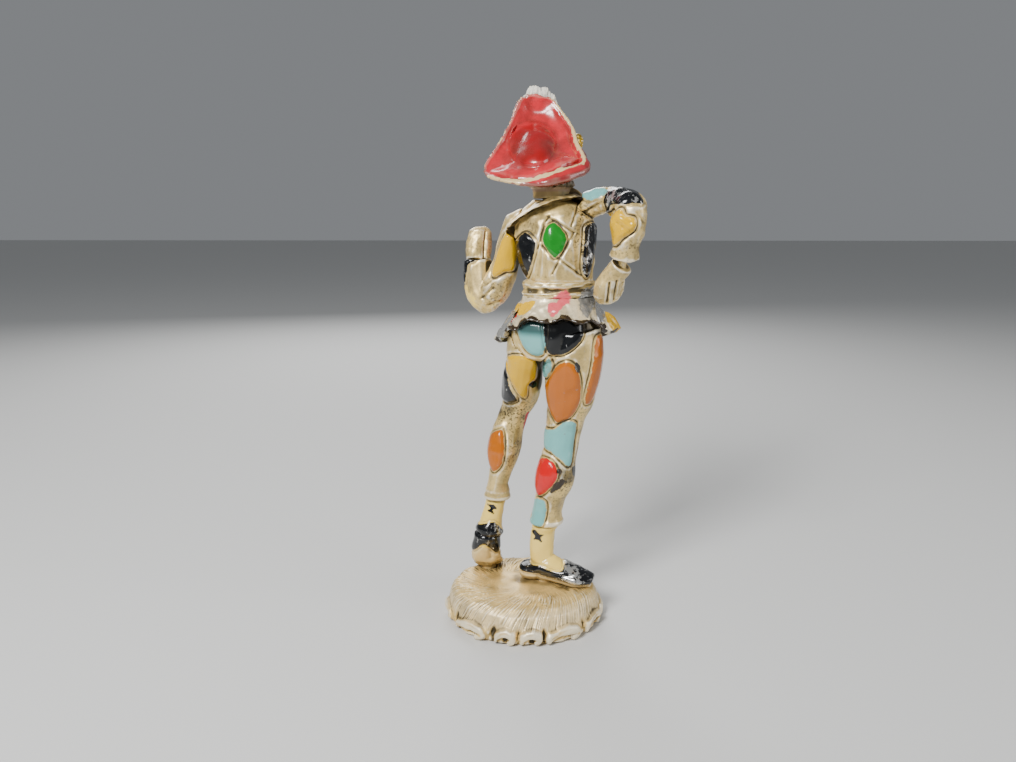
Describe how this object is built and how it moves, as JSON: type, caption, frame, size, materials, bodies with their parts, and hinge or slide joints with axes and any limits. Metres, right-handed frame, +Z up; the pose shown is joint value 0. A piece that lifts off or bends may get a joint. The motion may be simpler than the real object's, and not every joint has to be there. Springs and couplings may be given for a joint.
{
  "type": "painted miniature figure",
  "caption": "Hand-painted cast-metal statuette of a masked-ball dancer in a lozenge-patterned suit and cocked hat, one hand on the hip, on an oval grassy base.",
  "frame": {"origin": "centre of the oval base's underside", "axes": "+Z up through the figure, the dancer faces -Y, the dancer's left hand is towards +X"},
  "size_m": [0.0229, 0.0189, 0.0644],
  "materials": {
    "base_enamel": "champagne enamel with brown wash in the recesses, satin",
    "tights_enamel": "cream enamel with hand-painted lozenges, satin",
    "stepping_leg_enamel": "cream enamel with hand-painted lozenges, satin",
    "jacket_enamel": "cream enamel with engraved lozenges, satin",
    "sash_enamel": "cream enamel, brown in the folds, satin",
    "skirt_enamel": "cream enamel with coloured patches, satin",
    "collar_enamel": "cream enamel, worn edge, satin",
    "face_enamel": "flesh enamel and brown hair, satin",
    "hat_enamel": "red enamel, glossy on the crown, worn to bare metal at the rim",
    "plume_enamel": "white enamel, matt",
    "cockade_gilt": "gold paint",
    "left_sleeve_enamel": "cream enamel with coloured patches, satin",
    "left_hand_enamel": "cream enamel, satin",
    "right_sleeve_enamel": "cream enamel with coloured patches, satin",
    "right_hand_enamel": "cream enamel, satin"
  },
  "bodies": {
    "root": {"base": "base_enamel", "lower_body": "tights_enamel", "left_leg": "stepping_leg_enamel", "torso": "jacket_enamel", "waist_sash": "sash_enamel", "jacket_skirt": "skirt_enamel", "collar": "collar_enamel", "head": "face_enamel", "hat": "hat_enamel", "hat_tuft": "plume_enamel", "hat_cockade": "cockade_gilt", "left_arm": "left_sleeve_enamel", "left_hand": "left_hand_enamel", "right_arm": "right_sleeve_enamel", "right_hand": "right_hand_enamel"}
  },
  "joints": []
}
